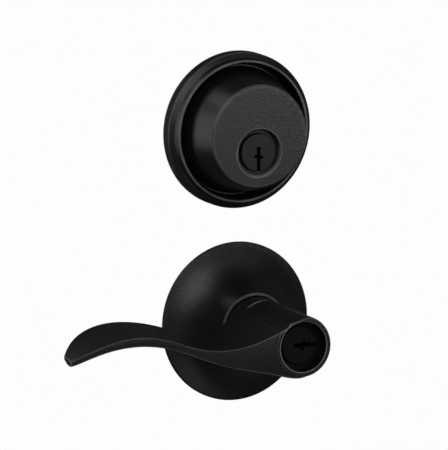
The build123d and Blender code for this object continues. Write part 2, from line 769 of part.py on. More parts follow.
def cage(side):
    """Mounting plate under a rose, with the bush that carries the lever."""
    plate = bar_y(CAGE_RADIUS, side.y(0), side.y(CAGE_THICKNESS), z=LEVER_Z)
    plate += bar_y(BUSH_RADIUS, side.y(0), side.y(BUSH_DEPTH), z=LEVER_Z)
    return plate - bar_y(JOURNAL_RADIUS + RUNNING_FIT, side.y(0), side.y(BUSH_DEPTH), z=LEVER_Z)


def lever_outside_plate():
    """Outer mounting plate with two tapped posts that reach into the door."""
    plate = cage(OUTSIDE)
    post_end = 0.35 * DOOR_THICKNESS
    for z in (LEVER_Z + BOLT_REACH, LEVER_Z - BOLT_REACH):
        plate += bar_y(POST_RADIUS, OUTSIDE.y(0), post_end, z=z)
        plate -= bar_y(BOLT_SHANK_RADIUS + RUNNING_FIT, OUTSIDE.y(PLATE_THICKNESS), post_end, z=z)
    return plate


def lever_inside_plate():
    """Inner mounting plate with clearance holes for the through bolts."""
    plate = cage(INSIDE)
    for z in (LEVER_Z + BOLT_REACH, LEVER_Z - BOLT_REACH):
        plate -= bar_y(BOLT_SHANK_RADIUS + LOOSE_FIT, INSIDE.y(0), INSIDE.y(PLATE_THICKNESS), z=z)
    return plate


def lever_through_bolts():
    """Screws that draw the two mounting plates together."""
    screws = through_bolts(OUTSIDE.y(-2.0), LEVER_Z)
    drop = INSIDE.out * (PLATE_THICKNESS - CAGE_THICKNESS)
    return [Pos(0, -drop, 0) * screw for screw in screws]


def return_spring(side):
    """Coil around a bush that lifts the lever back to level."""
    radius = BUSH_RADIUS + SPRING_WIRE + LOOSE_FIT
    foot = CAGE_THICKNESS + SPRING_WIRE + LOOSE_FIT
    pitch = RETURN_SPRING_PITCH
    coil = spring_coil(SPRING_WIRE, radius, pitch, RETURN_SPRING_TURNS * pitch)
    return Pos(0, side.y(foot), LEVER_Z) * Rot(-90 * side.out, 0, 0) * coil


# Levers


def blade_section(station):
    """Face across the blade: upright front band, flat top, full underside."""
    front = OUTSIDE.y(station.front)
    back = OUTSIDE.y(station.back)
    band_middle = (station.front_bottom + station.front_top) / 2
    bulge = BAND_BULGE * (station.front_top - station.front_bottom)
    back_low = station.back_top - station.back_edge
    belly_y = (front + back) / 2
    belly_z = (station.front_bottom + back_low) / 2 - BELLY_SAG
    plane = Plane((station.x, 0, 0), x_dir=(0, 1, 0), z_dir=(1, 0, 0))
    f_top = (front, station.front_top)
    f_low = (front, station.front_bottom)
    b_low = (back, back_low)
    b_top = (back, station.back_top)
    back_bulge = (back + BACK_BULGE * station.back_edge, station.back_top - station.back_edge / 2)
    lines = [
        ThreePointArc(f_top, (front - bulge, band_middle), f_low),
        ThreePointArc(f_low, (belly_y, belly_z), b_low),
        ThreePointArc(b_low, back_bulge, b_top),
        Line(b_top, f_top),
    ]
    return plane * eased(make_face(lines), [(f_top, BLADE_EDGE)])


def over_blade(station):
    """Face across the space above the blade's flat top, as far as the head reaches."""
    front = OUTSIDE.y(HEAD_FRONT + HEAD_EDGE)
    back = OUTSIDE.y(station.back)
    ceiling = HEAD_RADIUS + HEAD_EDGE
    plane = Plane((station.x, 0, 0), x_dir=(0, 1, 0), z_dir=(1, 0, 0))
    low = (front, station.front_top - BLADE_EDGE / 2)
    return plane * make_face(
        Polyline(low, (back, station.back_top), (back, ceiling), (front, ceiling), close=True)
    )


def lever_blank():
    """Head, journal and blade of a lever in one casting, at the outside face."""
    edge = (HEAD_FRONT_RADIUS, HEAD_FRONT)
    outline = make_face(
        Polyline(
            (0, JOURNAL_BACK),
            (JOURNAL_RADIUS, JOURNAL_BACK),
            (JOURNAL_RADIUS, HEAD_BACK),
            (HEAD_RADIUS, HEAD_BACK),
            edge,
            (0, HEAD_FRONT),
            close=True,
        )
    )
    head = turned(eased(outline, [(edge, HEAD_EDGE)]), OUTSIDE)
    head -= loft([over_blade(station) for station in BLADE[:3]], ruled=True)
    return head + loft([blade_section(station) for station in BLADE])


def spindle_bar(size, side_depth):
    """Square bar along the lever's axis through the door."""
    half = size / 2
    return block(-half, half, OUTSIDE.y(side_depth), INSIDE.y(side_depth), -half, half)


def lever_shell():
    """Lever casting with its spindle socket and grub screw hole."""
    lever = lever_blank()
    lever -= spindle_bar(SPINDLE_SIZE + LOOSE_FIT, SPINDLE_END + LOOSE_FIT)
    hole = GRUB_RADIUS + RUNNING_FIT
    return lever - bar_z(hole, -HEAD_RADIUS, 0, y=OUTSIDE.y(GRUB_DEPTH))


def stem_bore(floor):
    """Clear bore from the spindle's end to the floor of a lever's front bore."""
    return bar_y(SPINDLE_BORE_RADIUS + 2 * FREE_GAP, OUTSIDE.y(SPINDLE_END), OUTSIDE.y(floor))


def lever_outside_handle():
    """Outside lever, bored for the key cylinder."""
    lever = lever_shell()
    lever -= bar_y(HEAD_BORE_RADIUS, OUTSIDE.y(HEAD_BORE_FLOOR), OUTSIDE.y(HEAD_FRONT + HEAD_EDGE))
    lever -= stem_bore(HEAD_BORE_FLOOR)
    return Pos(0, 0, LEVER_Z) * lever


def across_door(solid):
    """Mirror image on the room side of the door."""
    return mirror(solid, about=Plane((0, MID, 0), z_dir=(0, 1, 0)))


def lever_inside_handle():
    """Room-side lever, bored for the turn button."""
    lever = lever_shell()
    lever -= bar_y(button_bore(), OUTSIDE.y(button_floor()), OUTSIDE.y(HEAD_FRONT + HEAD_EDGE))
    lever -= stem_bore(button_floor())
    return across_door(Pos(0, 0, LEVER_Z) * lever)


def button_bore():
    """Radius of the turn button's bore."""
    return 0.66 * HEAD_BORE_RADIUS


def button_floor():
    """Depth of the turn button's bore."""
    return HEAD_FRONT - BUTTON_DEPTH


def turn_button():
    """Button in the room-side lever with a finger wing and a stem to the spindle."""
    radius = button_bore() - RUNNING_FIT
    seat = INSIDE.y(button_floor() + RUNNING_FIT)
    rim = INSIDE.y(HEAD_FRONT + 1.0)
    button = bar_y(radius, seat, rim)
    button += bar_y(SPINDLE_BORE_RADIUS, INSIDE.y(SPINDLE_END + LOOSE_FIT), seat)
    half = BUTTON_WING_WIDTH / 2
    reach = 0.8 * radius
    wing = block(-half, half, rim - 1, INSIDE.y(HEAD_FRONT + BUTTON_WING), -reach, reach)
    button += fillet(wing.edges().filter_by(Axis.X), 0.45 * BUTTON_WING_WIDTH)
    return Pos(0, 0, LEVER_Z) * button


def grub_screw():
    """Headless screw that holds a lever on the spindle."""
    tip = -(SPINDLE_SIZE + LOOSE_FIT) / 2
    screw = bar_z(GRUB_RADIUS, 1.0 - HEAD_RADIUS, tip, y=OUTSIDE.y(GRUB_DEPTH))
    socket = bar_z(GRUB_RADIUS / 2, 1.0 - HEAD_RADIUS, 3.0 - HEAD_RADIUS, y=OUTSIDE.y(GRUB_DEPTH))
    return Pos(0, 0, LEVER_Z) * (screw - socket)


def lever_spindle():
    """Square spindle from lever to lever, bored for the torque blade."""
    spindle = spindle_bar(SPINDLE_SIZE, SPINDLE_END)
    spindle -= bar_y(SPINDLE_BORE_RADIUS, OUTSIDE.y(SPINDLE_END), INSIDE.y(SPINDLE_END))
    return Pos(0, 0, LEVER_Z) * spindle


def lever_turned(solid):
    """Piece of the lever's key cylinder, laid on its side as in the head."""
    return Pos(0, 0, LEVER_Z) * Rot(0, -90, 0) * solid


def lever_cylinder():
    """Round key cylinder that fills the head's bore."""
    front = OUTSIDE.y(LEVER_BARREL.front - LEVER_GROOVE)
    floor = OUTSIDE.y(HEAD_BORE_FLOOR)
    body = bar_y(HEAD_BORE_RADIUS - RUNNING_FIT, front, floor)
    body -= bar_y(PLUG_RADIUS + RUNNING_FIT, front, floor)
    return lever_turned(body - plug_space(LEVER_BARREL))


def lever_plug():
    """Plug of the lever with its keyway lying flat."""
    return lever_turned(key_plug(LEVER_BARREL))


def torque_blade():
    """Thin bar from the lever's plug through the spindle to the button."""
    floor = LEVER_BARREL.back
    head = bar_y(TAIL_HEAD_RADIUS, OUTSIDE.y(floor + PLATE_THICKNESS), OUTSIDE.y(floor))
    half = 0.7 * SPINDLE_BORE_RADIUS
    flat = 0.25 * SPINDLE_BORE_RADIUS
    end = INSIDE.y(SPINDLE_END - PLATE_THICKNESS)
    blade = head + block(-half, half, OUTSIDE.y(floor), end, -flat, flat)
    return Pos(0, 0, LEVER_Z) * blade


# Latch


def latch_faceplate():
    """Faceplate with a round opening for the latch and its plunger."""
    back = BACKSET - FACEPLATE_THICKNESS
    opening = bar_x(LATCH_RADIUS + FREE_GAP, back, BACKSET, z=LEVER_Z)
    return faceplate(opening, LEVER_Z)


def latch_case():
    """Case of the latch."""
    hub_hole = 0.9 * LATCH_HUB_RADIUS + RUNNING_FIT
    bore = LATCH_RADIUS + FREE_GAP
    case = tubular_case(LATCH_CASE_RADIUS, bore, CASE_LENGTH, 0, hub_hole, LEVER_Z)
    back = BACKSET - FACEPLATE_THICKNESS - CASE_LENGTH
    seat = bar_x(bore, back, back + SPRING_SEAT, z=LEVER_Z)
    return case + seat - bar_x(SPRING_SEAT_HOLE, back, back + SPRING_SEAT, z=LEVER_Z)


def latch_bolt():
    """Sprung latch with a slanted nose and a flat for the plunger."""
    nose = BACKSET + LATCH_THROW
    back = nose - LATCH_LENGTH
    body = bar_x(LATCH_RADIUS, back, nose, z=LEVER_Z)
    low = MID - LATCH_FLAT
    body -= block(back, nose, low - LATCH_RADIUS, low, LEVER_Z - LATCH_RADIUS, LEVER_Z + LATCH_RADIUS)
    slope = make_face(
        Polyline(
            (nose - LATCH_THROW, MID + LATCH_RADIUS),
            (nose - LATCH_THROW, MID + LATCH_RADIUS + 2),
            (nose + 2, MID + LATCH_RADIUS + 2),
            (nose + 2, MID - 0.5 * LATCH_FLAT),
            (nose, MID - 0.5 * LATCH_FLAT),
            close=True,
        )
    )
    cut = extrude(slope, 2 * LATCH_RADIUS)
    return body - Pos(0, 0, LEVER_Z - LATCH_RADIUS) * cut


def latch_plunger():
    """Thin bar beside the latch that the strike holds back to deadlock it."""
    nose = BACKSET + PLUNGER_REACH
    back = nose - LATCH_LENGTH
    bar = bar_x(LATCH_RADIUS, back, nose, z=LEVER_Z)
    top = MID - LATCH_FLAT - FREE_GAP
    keep = block(back, nose, top - LATCH_RADIUS, top, LEVER_Z - LATCH_RADIUS, LEVER_Z + LATCH_RADIUS)
    return bar & keep


def latch_link():
    """Plate from the latch around the cam, with a slot for the crank pin."""
    arm = crank_radius(LATCH_THROW, LEVER_SWING)
    slot_x = LATCH_THROW / 2
    low = LEVER_Z + arm * cos(radians(LEVER_SWING / 2))
    high = LEVER_Z + arm
    slot_half = CRANK_PIN_RADIUS + FREE_GAP / 2
    margin = slot_half + LATCH_LINK_RIM
    clear = LATCH_HUB_RADIUS + FREE_GAP
    outer = clear + LATCH_LINK_BAR
    end = clear + LATCH_THROW
    tail = BACKSET + LATCH_THROW - LATCH_LENGTH
    tail_half = LATCH_LINK_TAIL / 2
    plate = link_plate(-outer, outer + LATCH_THROW, LEVER_Z - outer, LEVER_Z + outer)
    plate -= link_plate(-clear, end, LEVER_Z - clear, LEVER_Z + clear)
    plate += link_plate(end, tail, LEVER_Z - tail_half, LEVER_Z + tail_half)
    plate += link_plate(slot_x - margin, slot_x + margin, LEVER_Z + clear, high + margin)
    return plate - pin_slot(slot_x, low, high, slot_half)


def latch_cam():
    """Cam on the square spindle whose crank draws the latch."""
    arm = crank_radius(LATCH_THROW, LEVER_SWING)
    ends = CHEEK_OFFSET + CHEEK_THICKNESS
    cam = crank(arm, LEVER_SWING / 2, LATCH_HUB_RADIUS, CRANK_PIN_RADIUS, LEVER_Z)
    cam += bar_y(0.9 * LATCH_HUB_RADIUS, MID - ends, MID + ends, z=LEVER_Z)
    return cam - Pos(0, 0, LEVER_Z) * spindle_bar(SPINDLE_SIZE + LOOSE_FIT, 0)


def latch_spring():
    """Coil between the case's seat and the latch that pushes the latch out."""
    tail = BACKSET + LATCH_THROW - LATCH_LENGTH
    start = BACKSET - FACEPLATE_THICKNESS - CASE_LENGTH + SPRING_SEAT
    ends = SPRING_WIRE + LOOSE_FIT
    length = tail - start - 2 * ends
    coil = spring_coil(SPRING_WIRE, 0.62 * LATCH_RADIUS, length / LATCH_SPRING_TURNS, length)
    return Pos(start + ends, MID, LEVER_Z) * Rot(0, 90, 0) * coil


NODES = {
    "deadbolt_trim_ring": deadbolt_trim_ring(),
    "deadbolt_housing": deadbolt_housing(),
    "deadbolt_cylinder": deadbolt_cylinder(),
    "deadbolt_plug": deadbolt_plug(),
    "deadbolt_plug_cap": deadbolt_plug_cap(),
    "deadbolt_key_pins": deadbolt_placed(key_pins(DEADBOLT_BARREL)),
    "deadbolt_driver_pins": deadbolt_placed(driver_pins(DEADBOLT_BARREL)),
    "deadbolt_pin_springs": deadbolt_placed(pin_springs(DEADBOLT_BARREL)),
    "deadbolt_pin_cover": deadbolt_pin_cover(),
    "deadbolt_support_plate": deadbolt_support_plate(),
    "deadbolt_tailpiece": deadbolt_tailpiece(),
    "bolt_faceplate": bolt_faceplate(),
    "bolt_case": bolt_case(),
    "bolt": bolt(),
    "bolt_roller": bolt_roller(),
    "bolt_link": bolt_link(),
    "bolt_cam": bolt_cam(),
    "deadbolt_inside_plate": deadbolt_inside_plate(),
    "deadbolt_through_bolts": deadbolt_through_bolts(),
    "deadbolt_inside_rose": deadbolt_inside_rose(),
    "thumbturn": thumbturn(),
    "thumbturn_clip": thumbturn_clip(),
    "lever_outside_rose": lever_rose(OUTSIDE, ROSE_OUTSIDE_COVE),
    "lever_outside_plate": lever_outside_plate(),
    "lever_outside_spring": return_spring(OUTSIDE),
    "lever_outside_handle": lever_outside_handle(),
    "lever_outside_grub_screw": grub_screw(),
    "lever_cylinder": lever_cylinder(),
    "lever_plug": lever_plug(),
    "lever_key_pins": [lever_turned(pin) for pin in key_pins(LEVER_BARREL)],
    "lever_driver_pins": [lever_turned(pin) for pin in driver_pins(LEVER_BARREL)],
    "lever_pin_springs": [lever_turned(coil) for coil in pin_springs(LEVER_BARREL)],
    "lever_torque_blade": torque_blade(),
    "lever_spindle": lever_spindle(),
    "latch_faceplate": latch_faceplate(),
    "latch_case": latch_case(),
    "latch_bolt": latch_bolt(),
    "latch_plunger": latch_plunger(),
    "latch_link": latch_link(),
    "latch_cam": latch_cam(),
    "latch_spring": latch_spring(),
    "lever_inside_plate": lever_inside_plate(),
    "lever_through_bolts": lever_through_bolts(),
    "lever_inside_spring": return_spring(INSIDE),
    "lever_inside_rose": lever_rose(INSIDE, ROSE_INSIDE_COVE),
    "lever_inside_handle": lever_inside_handle(),
    "lever_inside_grub_screw": across_door(grub_screw()),
    "lever_turn_button": turn_button(),
}


def main():
    """Write one STEP file per node."""
    os.makedirs("parts", exist_ok=True)
    for name, shape in NODES.items():
        solids = shape if isinstance(shape, list) else [shape]
        shape = Compound(children=[s for item in solids for s in item.solids()])
        export_step(shape, f"parts/{name}.step")


if __name__ == "__main__":
    main()
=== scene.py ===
"""Black entry lock set: a round deadbolt over a keyed lever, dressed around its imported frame."""

from __future__ import annotations

import json
import logging
import math
from dataclasses import dataclass, replace
from enum import Enum
from typing import Any

import bpy
import numpy as np
from mathutils import Matrix, Vector

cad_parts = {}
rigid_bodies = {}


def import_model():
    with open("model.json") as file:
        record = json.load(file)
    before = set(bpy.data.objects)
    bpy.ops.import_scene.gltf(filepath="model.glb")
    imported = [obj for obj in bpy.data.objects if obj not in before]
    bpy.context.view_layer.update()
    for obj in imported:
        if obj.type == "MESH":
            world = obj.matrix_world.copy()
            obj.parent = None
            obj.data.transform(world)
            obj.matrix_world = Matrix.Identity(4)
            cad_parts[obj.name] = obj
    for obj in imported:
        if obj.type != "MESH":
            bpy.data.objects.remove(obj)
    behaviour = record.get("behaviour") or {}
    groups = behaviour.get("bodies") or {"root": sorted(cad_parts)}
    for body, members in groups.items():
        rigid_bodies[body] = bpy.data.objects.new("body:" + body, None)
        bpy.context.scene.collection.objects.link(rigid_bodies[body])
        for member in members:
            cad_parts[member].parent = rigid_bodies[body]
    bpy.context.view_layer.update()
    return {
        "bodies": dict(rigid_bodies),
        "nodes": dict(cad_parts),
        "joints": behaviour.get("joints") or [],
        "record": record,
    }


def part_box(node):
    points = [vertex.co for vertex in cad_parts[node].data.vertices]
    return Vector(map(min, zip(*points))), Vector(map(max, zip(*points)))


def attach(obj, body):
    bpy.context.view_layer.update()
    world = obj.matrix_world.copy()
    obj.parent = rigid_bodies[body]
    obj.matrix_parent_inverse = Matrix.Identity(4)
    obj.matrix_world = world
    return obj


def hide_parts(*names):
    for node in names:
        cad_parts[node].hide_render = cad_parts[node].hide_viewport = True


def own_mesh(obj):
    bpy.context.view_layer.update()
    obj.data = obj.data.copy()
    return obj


Corners = list[tuple[float, float, float]]

LOG = logging.getLogger("lock_set")
MM = 0.001

# The sRGB standard's curve: a straight foot below the knee and a power above it
SRGB_KNEE = 0.04045
SRGB_FOOT_SLOPE = 12.92
SRGB_OFFSET = 0.055
SRGB_POWER = 2.4

# Colour sockets of a Mix node, which go by number because other sockets share their names
MIX_FIRST = 6
MIX_SECOND = 7
MIX_RESULT = 2

# Detail of every noise, and the span of the fine one that the gloss follows
NOISE_DETAIL = 3.0
GRAIN_SPAN = (0.3, 0.7)

# Painted highlight, a lighter base colour on a coat's upper edges: readings of depth over which it sets in,
# the span of the slow noise that breaks it up with its least share, and how far a surface may look down and
# still take it
HIGHLIGHT_DEPTH = (0.97, 0.84)
HIGHLIGHT_CLOUD = (0.3, 0.6)
HIGHLIGHT_LEAST = 0.35
HIGHLIGHT_RISE = (-0.35, -0.05)
HIGHLIGHT_SAMPLES = 8


def linear(hex_colour: str) -> tuple[float, float, float, float]:
    """Turn an sRGB hex colour into linear light.

    Args:
        hex_colour: Six hex digits, with or without a leading hash.

    Returns:
        Red, green, blue and an alpha of one.
    """
    digits = hex_colour.lstrip("#")
    srgb = np.array([int(digits[i : i + 2], 16) for i in (0, 2, 4)]) / 255
    curve = ((srgb + SRGB_OFFSET) / (1 + SRGB_OFFSET)) ** SRGB_POWER
    light = np.where(srgb <= SRGB_KNEE, srgb / SRGB_FOOT_SLOPE, curve)
    return (*(float(channel) for channel in light), 1.0)


def add_node(
    tree: bpy.types.NodeTree,
    kind: str,
    settings: dict[str, Any] | None = None,
    inputs: dict[str | int, Any] | None = None,
) -> bpy.types.Node:
    """Add one node with its settings, constants and links.

    Args:
        tree: Node tree that takes the node.
        kind: Blender's name of the node type.
        settings: Attributes of the node.
        inputs: Input sockets by name or number; an output socket is linked, another value is set.

    Returns:
        The new node.
    """
    node = tree.nodes.new(kind)
    for name, value in (settings or {}).items():
        setattr(node, name, value)
    for name, value in (inputs or {}).items():
        if isinstance(value, bpy.types.NodeSocket):
            tree.links.new(value, node.inputs[name])
        else:
            node.inputs[name].default_value = value
    return node


def per_metre(feature_mm: float) -> float:
    """Noise scale that gives features of a size in millimetres."""
    return 1 / (feature_mm * MM)


def node_material(name: str) -> bpy.types.Material:
    """Make a material with a node tree.

    Args:
        name: Name of the material.

    Returns:
        The new material.
    """
    material = bpy.data.materials.new(name)
    material.use_nodes = True
    return material


def put_in_scene(name: str, data: bpy.types.ID) -> bpy.types.Object:
    """Make an object at the origin and show it.

    Args:
        name: Name of the object.
        data: Mesh, light or camera that it shows.

    Returns:
        The new object.
    """
    thing = bpy.data.objects.new(name, data)
    bpy.context.scene.collection.objects.link(thing)
    return thing


class Slot(Enum):
    """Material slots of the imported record."""

    BLACK_COAT = "black_coat"
    BRASS = "brass"
    PLATED_STEEL = "plated_steel"
    BARE_STEEL = "steel"


@dataclass(frozen=True)
class Finish:
    """Surface with two close colours, a fine relief and an uneven gloss."""

    name: str
    colour: str
    second_colour: str
    metallic: float
    roughness: float
    roughness_spread: float
    grain_mm: tuple[float, float, float]
    cloud_mm: float
    relief_mm: float
    specular: float = 0.5
    # Lighter colour on the upper edges and its reach: a painted highlight
    edge_highlight_colour: str | None = None
    edge_highlight_mm: float = 0.9

    def paint_edge_highlights(
        self,
        tree: bpy.types.NodeTree,
        coat: bpy.types.NodeSocket,
        cloud: bpy.types.NodeSocket,
    ) -> bpy.types.NodeSocket:
        """Lay a lighter colour on the outward edges that face up, a painted highlight where light from
        above catches them.

        An edge is where the metal under the surface is thin. The painted highlight is broken up by the slow
        noise, and leaves out surfaces that look down, away from the light.

        Args:
            tree: Node tree of the material.
            coat: Colour of the coat.
            cloud: Slow noise that breaks the painted highlight up.

        Returns:
            The colour with its painted edge highlights.
        """
        # The lighter colour laid on here is a painted highlight on the upper edges
        reach = self.edge_highlight_mm * MM
        inward = {"inside": True, "only_local": True}
        depth = add_node(tree, "ShaderNodeAmbientOcclusion", inward, {"Distance": reach})
        steps = {"Value": depth.outputs["AO"], "From Min": HIGHLIGHT_DEPTH[0], "From Max": HIGHLIGHT_DEPTH[1]}
        edge = add_node(tree, "ShaderNodeMapRange", {"interpolation_type": "SMOOTHSTEP"}, steps)
        broken = {
            "Value": cloud,
            "From Min": HIGHLIGHT_CLOUD[0],
            "From Max": HIGHLIGHT_CLOUD[1],
            "To Min": HIGHLIGHT_LEAST,
        }
        patchy = add_node(tree, "ShaderNodeMapRange", None, broken)
        rounded = add_node(tree, "ShaderNodeBevel", {"samples": HIGHLIGHT_SAMPLES}, {"Radius": reach})
        turn = {"vector_type": "NORMAL", "convert_from": "WORLD", "convert_to": "OBJECT"}
        facing = add_node(tree, "ShaderNodeVectorTransform", turn, {0: rounded.outputs[0]})
        rise = add_node(tree, "ShaderNodeSeparateXYZ", None, {0: facing.outputs[0]})
        toward_light = {
            "Value": rise.outputs["Z"],
            "From Min": HIGHLIGHT_RISE[0],
            "From Max": HIGHLIGHT_RISE[1],
            "To Max": patchy.outputs["Result"],
        }
        upper = add_node(tree, "ShaderNodeMapRange", None, toward_light)
        shares = {0: edge.outputs["Result"], 1: upper.outputs["Result"]}
        highlight = add_node(tree, "ShaderNodeMath", {"operation": "MULTIPLY"}, shares)
        colours = {"Factor": highlight.outputs[0], MIX_FIRST: coat, MIX_SECOND: linear(self.edge_highlight_colour)}
        return add_node(tree, "ShaderNodeMix", {"data_type": "RGBA"}, colours).outputs[MIX_RESULT]

    def material(self) -> bpy.types.Material:
        """Build the finish as a node tree on Object coordinates.

        Returns:
            The finished material.
        """
        material = node_material(self.name)
        tree = material.node_tree
        shader = tree.nodes["Principled BSDF"]
        shader.inputs["Metallic"].default_value = self.metallic
        shader.inputs["Specular IOR Level"].default_value = self.specular
        place = add_node(tree, "ShaderNodeTexCoord").outputs["Object"]
        stretch = tuple(per_metre(size) for size in self.grain_mm)
        spread = add_node(tree, "ShaderNodeMapping", None, {"Vector": place, "Scale": stretch})
        fine = {"Vector": spread.outputs[0], "Scale": 1.0, "Detail": NOISE_DETAIL}
        grain = add_node(tree, "ShaderNodeTexNoise", None, fine).outputs["Fac"]
        slow = {"Vector": place, "Scale": per_metre(self.cloud_mm), "Detail": NOISE_DETAIL}
        cloud = add_node(tree, "ShaderNodeTexNoise", None, slow).outputs["Fac"]
        colours = {
            "Factor": cloud,
            MIX_FIRST: linear(self.colour),
            MIX_SECOND: linear(self.second_colour),
        }
        colour = add_node(tree, "ShaderNodeMix", {"data_type": "RGBA"}, colours).outputs[MIX_RESULT]
        # Upper edges take a lighter colour: a painted highlight
        if self.edge_highlight_colour:
            colour = self.paint_edge_highlights(tree, colour, cloud)
        gloss = {
            "Value": grain,
            "From Min": GRAIN_SPAN[0],
            "From Max": GRAIN_SPAN[1],
            "To Min": self.roughness - self.roughness_spread,
            "To Max": self.roughness + self.roughness_spread,
        }
        rough = add_node(tree, "ShaderNodeMapRange", None, gloss)
        relief = {"Height": grain, "Strength": 1.0, "Distance": self.relief_mm * MM}
        bump = add_node(tree, "ShaderNodeBump", None, relief)
        tree.links.new(colour, shader.inputs["Base Color"])
        tree.links.new(rough.outputs["Result"], shader.inputs["Roughness"])
        tree.links.new(bump.outputs["Normal"], shader.inputs["Normal"])
        return material


# Satin black powder coat on die-cast zinc: near black, a soft sheen, and a fine orange peel that is
# drawn deeper than it is so that it shows
POWDER_COAT = Finish(
    name="powder_coat_satin_black",
    colour="#0b0b0c",
    second_colour="#101011",
    metallic=0.0,
    roughness=0.34,
    roughness_spread=0.06,
    grain_mm=(0.6, 0.6, 0.6),
    cloud_mm=14.0,
    relief_mm=0.08,
    # Grey of the painted highlight on the upper edges
    edge_highlight_colour="#565656",
)

# The same coat on the housing, with its painted highlight wider along its rounded edge
WIDE_HIGHLIGHT_COAT = replace(POWDER_COAT, name="powder_coat_wide_highlight", edge_highlight_mm=1.5)

# The same coat on the levers and the outside rose, with a brighter painted highlight in a finer line along
# sharper edges
LEVER_COAT = replace(POWDER_COAT, name="powder_coat_lever", edge_highlight_colour="#606060", edge_highlight_mm=0.5)

# Black oxide on the deadbolt's brass plug and cylinder: duller than the coat around them
BLACK_OXIDE = Finish(
    name="brass_black_oxide",
    colour="#090909",
    second_colour="#0d0d0d",
    metallic=0.0,
    roughness=0.42,
    roughness_spread=0.04,
    grain_mm=(0.5, 0.5, 0.5),
    cloud_mm=6.0,
    relief_mm=0.003,
    specular=0.35,
)

# The same oxide in the lever's deep recess, left matt from the bath: almost no sheen
MATT_OXIDE = replace(BLACK_OXIDE, name="brass_black_oxide_matt", roughness=0.55, specular=0.1)

# Turned brass: warm yellow metal with fine lathe lines
TURNED_BRASS = Finish(
    name="brass_turned",
    colour="#c9a25a",
    second_colour="#b58c46",
    metallic=1.0,
    roughness=0.3,
    roughness_spread=0.08,
    grain_mm=(6.0, 0.35, 6.0),
    cloud_mm=5.0,
    relief_mm=0.006,
)

# Zinc-plated sheet steel: pale, cool grey with a cloudy, half-dull gloss
ZINC_PLATE = Finish(
    name="steel_zinc_plated",
    colour="#b9bcc0",
    second_colour="#a3a7ab",
    metallic=1.0,
    roughness=0.38,
    roughness_spread=0.1,
    grain_mm=(1.6, 1.6, 1.6),
    cloud_mm=7.0,
    relief_mm=0.008,
)

# Drawn steel bar and wire: darker grey with faint draw lines
DRAWN_STEEL = Finish(
    name="steel_drawn",
    colour="#93949a",
    second_colour="#7d7e83",
    metallic=1.0,
    roughness=0.32,
    roughness_spread=0.08,
    grain_mm=(5.0, 0.5, 0.5),
    cloud_mm=9.0,
    relief_mm=0.006,
)

FINISHES = {
    Slot.BLACK_COAT: POWDER_COAT,
    Slot.BRASS: TURNED_BRASS,
    Slot.PLATED_STEEL: ZINC_PLATE,
    Slot.BARE_STEEL: DRAWN_STEEL,
}
OWN_FINISHES = {
    "deadbolt_housing": WIDE_HIGHLIGHT_COAT,
    "deadbolt_plug": BLACK_OXIDE,
    "deadbolt_cylinder": BLACK_OXIDE,
    "lever_outside_rose": LEVER_COAT,
    "lever_outside_handle": LEVER_COAT,
    "lever_inside_handle": LEVER_COAT,
    "lever_plug": MATT_OXIDE,
    "lever_cylinder": MATT_OXIDE,
}


def turned_mesh(name: str, rings: np.ndarray, start: np.ndarray, end: np.ndarray) -> bpy.types.Mesh:
    """Close a stack of rings into a mesh, with a fan of triangles at each end.

    Each ring is joined to the next by quads, the last point of a ring to its first.

    Args:
        name: Name of the mesh.
        rings: Points as rows, columns and coordinates, in metres.
        start: Pole before the first ring.
        end: Pole after the last ring.

    Returns:
        The mesh.
    """
    rows, columns, _ = rings.shape
    index = np.arange(rows * columns).reshape(rows, columns)
    after = np.roll(index, -1, axis=1)
    quads = np.stack([index[:-1], after[:-1], after[1:], index[1:]], axis=-1).reshape(-1, 4)
    first = np.full(columns, rows * columns)
    last = first + 1
    fans = np.concatenate(
        [np.stack([first, after[0], index[0]], axis=-1), np.stack([last, index[-1], after[-1]], axis=-1)]
    )
    points = np.concatenate([rings.reshape(-1, 3), start[None], end[None]])
    mesh = bpy.data.meshes.new(name)
    mesh.from_pydata(points.tolist(), [], quads.tolist() + fans.tolist())
    mesh.shade_smooth()
    return mesh


